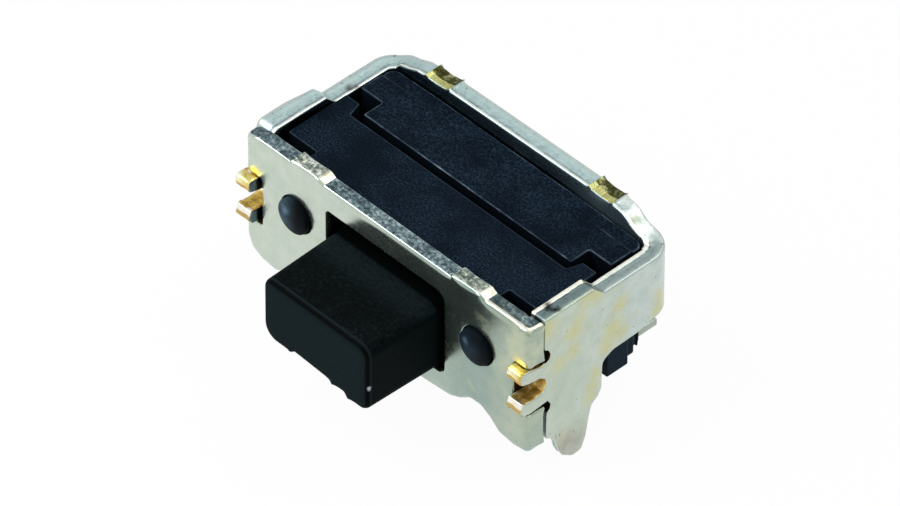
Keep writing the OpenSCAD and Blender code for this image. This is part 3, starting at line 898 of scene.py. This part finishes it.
def plateCutLook(u, v):
    # notches at both ends, the top edge with its bumps, the window and the post holes
    a = abs(u)
    if a > 2.05 and 0.3 < v < 1.08:
        return "notch"
    if v > 1.6:
        for u0 in bumpStarts:
            if u0 < u < u0 + bumpTop:
                return "bump"
            if u0 + bumpTop <= u < u0 + bumpFoot:
                return "bumpEnd"
        return "smooth" if u > 1.62 else "cut"
    if a < 1.85 and 0 < v < 1.4:
        return "smooth"
    return "cut"


holes = [window] + [ring(*place, holeRadius) for place in postPlaces.values()]
plate = sheetMesh("plate_sheet", plateOutline(), holes, plateShape, bendPlate, plateLooks, plateCutLook)
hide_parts("front_plate")
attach(plate, "housing")
print("front plate made:", len(plate.data.polygons), "faces")


# heads of the staking posts, proud of the plate

postShape = {"radius": 0.239, "foot": -0.03, "out": 0.047, "dome": 0.055, "turns": 48, "arcs": 12}


def postHead(centre):
    # rings from the foot to the crown as (radius, distance out of the plate)
    radius, out, turns, arcs = (postShape[k] for k in ("radius", "out", "turns", "arcs"))
    rings = [(radius, postShape["foot"]), (radius, 0.0), (radius, out)]
    for k in range(1, arcs + 1):
        a = math.pi / 2 * k / arcs
        rings.append((radius * math.cos(a), out + postShape["dome"] * math.sin(a)))
    crown = rings.pop()[1]
    points = [(x, frontY - far, z) for r, far in rings for x, z in ring(*centre, r, turns)]
    points.append((centre[0], frontY - crown, centre[1]))
    faces = []
    for i in range(turns):
        j = (i + 1) % turns
        for k in range(0, (len(rings) - 1) * turns, turns):
            faces.append((k + i, k + j, k + turns + j, k + turns + i))
        last = (len(rings) - 1) * turns
        faces.append((last + i, last + j, len(points) - 1))
    faces.append(tuple(range(turns)))
    return points, faces


for word, place in postPlaces.items():
    head = addPiece("post_head_" + word, *postHead(place), [postLook], 50)
    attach(head, "housing")
print("post heads made")


# button: a capped block that widens towards its flange

buttonShape = {
    "thick": 1.345, "outerRound": 0.065, "rollReach": 0.06, "innerRound": 0.01, "arcs": 4, "rows": 8,
    "burnish": 1, "tear": 0, "tearScale": 1, "edgeStep": 0.05, "gridStep": 0.09, "holeShare": 1,
    "tipPull": 0, "tipFrom": 9, "out": 1.12, "draft": 0.026, "middleZ": 0.6, "ribEnd": 1.05,
    "ribCut": 0.125, "edge": 0.02}


def buttonOutline():
    # two low ribs and the notches between them run along the underside
    left, right, top = -0.866, 0.87, 1.085
    return fillet([(left, top, 0.15), (left, 0.17, 0.3), (-0.42, 0.17, 0.05), (-0.36, 0.212, 0.04),
                   (0.22, 0.178, 0.04), (0.265, 0.145, 0.03), (0.46, 0.15, 0.03), (0.53, 0.1, 0.03),
                   (right, 0.1, 0.14), (right, top, 0.17)], 8)


def placeButton(u, v, depth):
    # the block grows towards its flange, and its ribs end before it
    grow = buttonShape["draft"] * depth
    low = buttonShape["ribCut"] if depth > buttonShape["ribEnd"] else 0
    middle = buttonShape["middleZ"]
    return u * (1 + grow), frontY - buttonShape["out"] + depth, max(middle + (v - middle) * (1 + grow), low)


def addBlock(mesh, low, high, edge):
    # a softened box joined to the mesh, in millimetres
    work = bmesh.new()
    work.from_mesh(mesh)
    made = bmesh.ops.create_cube(work, size=1)
    size, middle = Vector(high) - Vector(low), (Vector(high) + Vector(low)) / 2
    for vert in made["verts"]:
        vert.co = Vector(a * b for a, b in zip(vert.co, size * mm)) + middle * mm
    edges = list({e for vert in made["verts"] for e in vert.link_edges})
    bmesh.ops.bevel(work, geom=edges, offset=edge * mm, segments=2, profile=0.7, affect="EDGES")
    work.to_mesh(mesh)
    work.free()
    smoothBy(mesh, sharpAngle)


button = sheetMesh("button_cap", buttonOutline(), [], buttonShape, placeButton, {"face": buttonLook},
                   lambda u, v: "face")
flangeFront = frontY + sheet + 0.012
for low, high in (((-1.175, flangeFront, 0.116), (1.175, flangeFront + 0.24, 1.38)),  # flange
                  ((-0.45, flangeFront + 0.12, 0.41), (0.45, stemEnd, 1.03))):  # stem
    addBlock(button.data, low, high, buttonShape["edge"])
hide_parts("button")
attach(button, "button")
print("button made:", len(button.data.polygons), "faces")


# snap dome and the tape on it, in their rest shape; both flatten as the button goes in

domeShape = {"width": 1.8, "height": 1.04, "middleZ": 0.74, "crown": 0.093, "radius": 1.42, "rim": 0.388,
             "foot": 0.03, "thick": 0.036, "rings": 10, "keep": 0.4}
tapeFront, tapeBack = -0.04, -0.004


def domeY(x, z):
    # front surface of the dome, with flat feet at its two ends
    radius = domeShape["radius"]
    sag = radius - math.sqrt(radius * radius - x * x - (z - domeShape["middleZ"]) ** 2)
    return min(domeShape["crown"] + sag, domeShape["rim"] - domeShape["foot"])


def domeSheet(name, front, back, look):
    # two curved faces, front and back away from the dome's own front face, and a wall round them
    halfW, halfH, middle = domeShape["width"] / 2, domeShape["height"] / 2, domeShape["middleZ"]
    corners = [(-halfW, -halfH, halfH), (halfW, -halfH, halfH), (halfW, halfH, halfH), (-halfW, halfH, halfH)]
    loop = spread(fillet(corners, 8), 0.08)
    rim, rings, count = domeShape["rim"], domeShape["rings"], len(loop)
    points, faces = [], []
    for away, edge in ((front, rim - domeShape["foot"] + front), (back, rim + min(0, back))):
        for k in range(rings):
            for u, v in loop:
                x, z = u * (1 - k / rings), middle + v * (1 - k / rings)
                points.append((x, min(domeY(x, z) + away, edge), z))
        points.append((0, domeY(0, middle) + away, middle))
    half = rings * count + 1
    for i in range(count):
        j = (i + 1) % count
        for start in (0, half):
            for k in range(start, start + (rings - 1) * count, count):
                faces.append((k + i, k + j, k + count + j, k + count + i))
            last = start + (rings - 1) * count
            faces.append((last + i, last + j, start + half - 1))
        faces.append((i, j, half + j, half + i))
    return addPiece(name, points, faces, [look], 40)


snapDome = domeSheet("snap_dome", 0, domeShape["thick"], domeLook)
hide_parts("dome")
coverTape = domeSheet("cover_tape", tapeFront, tapeBack, filmLook)
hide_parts("film")
for piece, slot in ((snapDome, "dome_metal"), (coverTape, "film_plastic")):
    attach(piece, "housing")
    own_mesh(piece)
print("dome and tape made")


# mouldings and contacts: solids of the frame with softened edges and their finish

# node: its look, the width of its soft edges in millimetres and their look
dressing = {"base": (moulding, 0.02, mouldingEdgeHighlight), "holder": (moulding, 0.016, faintEdgeHighlight),
            "centre_contact": (contactLook, 0.012, None), "outer_contact": (contactLook, 0.012, None)}


def soften(node, width, edgeLook):
    weld = node.modifiers.new("joinEdges", "WELD")
    weld.merge_threshold = 0.0004 * mm
    flat = node.modifiers.new("flatten", "DECIMATE")
    flat.decimate_type = "DISSOLVE"
    flat.angle_limit = math.radians(1)
    edge = node.modifiers.new("softEdge", "BEVEL")
    edge.width = width * mm
    edge.segments = 2
    edge.limit_method = "ANGLE"
    edge.angle_limit = math.radians(35)
    edge.harden_normals = True
    edge.use_clamp_overlap = False
    edge.miter_outer = "MITER_ARC"
    # the bevel faces take the paler edge look, a painted highlight
    if edgeLook:
        node.data.materials.append(edgeLook)
        edge.material = 1


for nodeName, (look, width, edgeLook) in dressing.items():
    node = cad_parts[nodeName]
    node.data.materials.clear()
    node.data.materials.append(look)
    soften(node, width, edgeLook)
print("mouldings dressed")


# camera, floor and light

view = {"aim": Vector((0, 0.015, 0.8)), "away": 145.9, "turn": 46.064, "tilt": 42.978, "roll": 0.275,
        "lens": 506.8, "sensor": 36, "shiftX": -0.01279, "shiftY": -0.01822}
camData = bpy.data.cameras.new("camera")
camData.lens, camData.sensor_width = view["lens"], view["sensor"]
camData.shift_x, camData.shift_y = view["shiftX"], view["shiftY"]
camData.clip_start, camData.clip_end = 0.001, 10
camera = bpy.data.objects.new("camera", camData)
placing = Matrix.Translation(view["aim"] * mm)
for degrees, axis in ((view["turn"], "Z"), (90 - view["tilt"], "X"), (view["roll"], "Z")):
    placing @= Matrix.Rotation(math.radians(degrees), 4, axis)
camera.matrix_world = placing @ Matrix.Translation((0, 0, view["away"] * mm))
scene.collection.objects.link(camera)
scene.camera = camera

floorSize = 0.4
floorGrey = (0.9, 0.9, 0.9)
floorGlow = 0.965  # how far the floor shows as plain white to the camera and in mirrors
bpy.ops.mesh.primitive_plane_add(size=floorSize, location=(0, 0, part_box("shell")[0].z))
floor = bpy.context.object
floor.name = "floor"
look, tree, bsdf = newLook("paleFloor")
feed(tree, floorGrey, bsdf.inputs["Base Color"])
feed(tree, 0.9, bsdf.inputs["Roughness"])
glow = addNode(tree, "Emission", {"Color": (*white, 1), "Strength": 1.0})
rays = addNode(tree, "LightPath")
seen = maths(tree, "MAXIMUM", rays.outputs["Is Camera Ray"], rays.outputs["Is Glossy Ray"])
both = addNode(tree, "MixShader")
feed(tree, times(tree, seen, floorGlow), both.inputs[0])
feed(tree, bsdf.outputs[0], both.inputs[1])
feed(tree, glow.outputs[0], both.inputs[2])
feed(tree, both.outputs[0], tree.nodes["Material Output"].inputs["Surface"])
floor.data.materials.append(look)

skyTone = (0.86, 0.9, 0.94)
skyLight, skyMirrored = 0.45, 0.4  # strength, and what mirrored rays get on top
world = bpy.data.worlds.new("studio")
scene.world = world
world.use_nodes = True
tree = world.node_tree
background = tree.nodes["Background"]
feed(tree, skyTone, background.inputs["Color"])
rays = addNode(tree, "LightPath")
mirrored = times(tree, rays.outputs["Is Glossy Ray"], skyMirrored)
feed(tree, plus(tree, mirrored, skyLight), background.inputs["Strength"])

lampAway = 30


def softLamp(name, azimuth, elevation, size, power):
    # angles round the object in degrees, size in millimetres, power in watts
    a, e = math.radians(azimuth), math.radians(elevation)
    way = Vector((math.sin(a) * math.cos(e), -math.cos(a) * math.cos(e), math.sin(e)))
    data = bpy.data.lights.new(name, "AREA")
    data.shape = "SQUARE"
    data.size = size * mm
    data.energy = power
    lamp = bpy.data.objects.new(name, data)
    lamp.location = way * lampAway * mm
    lamp.rotation_mode = "QUATERNION"
    lamp.rotation_quaternion = way.to_track_quat("Z", "Y")
    scene.collection.objects.link(lamp)


softLamp("keyLamp", -35, 50, 18, 0.0050)
softLamp("fillLamp", 75, 35, 24, 0.0009)
softLamp("backLamp", 170, 60, 14, 0.0022)
print("camera and lamps set")

scene.view_settings.view_transform = "Standard"
